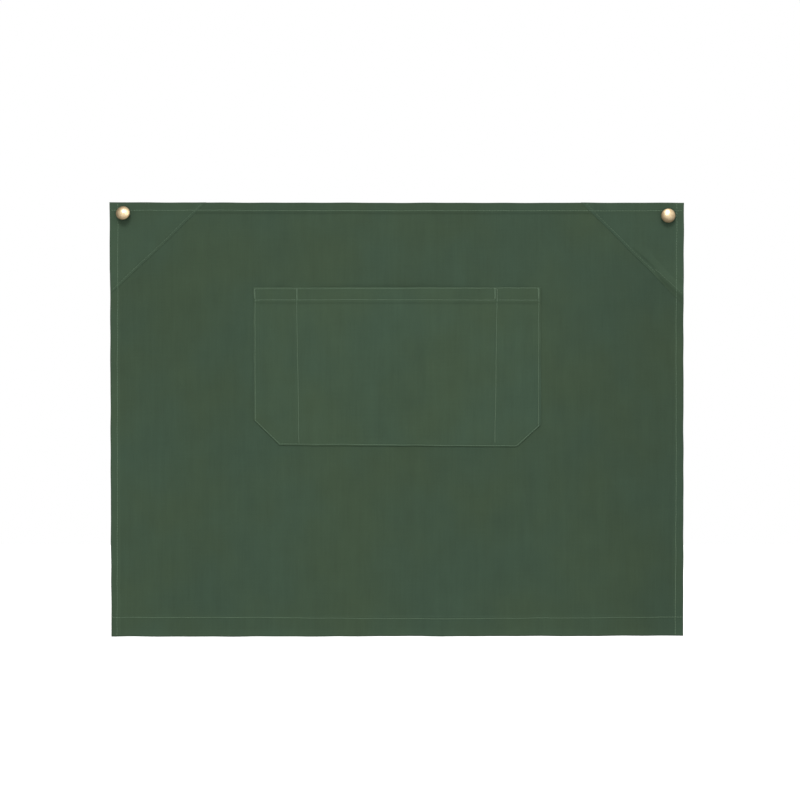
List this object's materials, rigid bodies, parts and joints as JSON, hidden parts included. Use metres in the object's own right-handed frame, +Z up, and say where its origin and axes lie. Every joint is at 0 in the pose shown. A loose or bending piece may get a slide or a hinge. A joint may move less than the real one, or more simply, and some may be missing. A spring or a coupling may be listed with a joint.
{
  "type": "waist apron",
  "caption": "Rectangular cloth waist apron panel with hemmed edges, a divided front pocket with cut lower corners, corner patches and swivelling brass buttons at the top corners.",
  "frame": {"origin": "middle of the top edge, on the front face of the cloth", "axes": "+X along the top edge to the viewer's right, +Z up, -Y out of the front face"},
  "size_m": [0.6, 0.0101, 0.454],
  "materials": {
    "panel_cloth": "matte forest green cotton twill",
    "pocket_cloth": "matte forest green cotton twill, a touch lighter",
    "patch_cloth": "matte forest green cotton twill",
    "thread": "polyester sewing thread, slightly lighter than the cloth",
    "button_brass": "satin antique brass, brighter where it is rubbed",
    "tack_brass": "plain brass, lightly tarnished",
    "button_core": "pressed aluminium, hidden inside the head"
  },
  "bodies": {
    "root": {"apron_panel": "panel_cloth", "pocket": "pocket_cloth", "left_corner_patch": "patch_cloth", "right_corner_patch": "patch_cloth", "top_hem_stitching": "thread", "left_hem_stitching": "thread", "right_hem_stitching": "thread", "bottom_hem_stitching": "thread", "left_patch_stitching": "thread", "right_patch_stitching": "thread", "pocket_mouth_edge_stitching": "thread", "pocket_mouth_hem_stitching": "thread", "pocket_edge_stitching": "thread", "left_divider_stitching": "thread", "right_divider_stitching": "thread", "pocket_bartacks": "thread"},
    "left_shank": {"left_button_shank": "button_brass", "left_button_tack": "tack_brass"},
    "left_head": {"left_button_cap": "button_brass", "left_button_core": "button_core", "left_button_back_plate": "button_brass"},
    "right_shank": {"right_button_shank": "button_brass", "right_button_tack": "tack_brass"},
    "right_head": {"right_button_cap": "button_brass", "right_button_core": "button_core", "right_button_back_plate": "button_brass"}
  },
  "joints": [
    {"name": "left_button_turn", "type": "hinge", "parent": "root", "child": "left_shank", "pos_m": [-0.287, -0.0055, -0.0105], "axis": [0, -1, 0], "continuous": true},
    {"name": "left_button_tilt", "type": "hinge", "parent": "left_shank", "child": "left_head", "pos_m": [-0.287, -0.0055, -0.0105], "axis": [0.9397, 0, 0.342], "range_deg": [0, 36]},
    {"name": "right_button_turn", "type": "hinge", "parent": "root", "child": "right_shank", "pos_m": [0.284, -0.0055, -0.0135], "axis": [0, -1, 0], "continuous": true},
    {"name": "right_button_tilt", "type": "hinge", "parent": "right_shank", "child": "right_head", "pos_m": [0.284, -0.0055, -0.0135], "axis": [1, 0, 0], "range_deg": [-18, 18]}
  ]
}
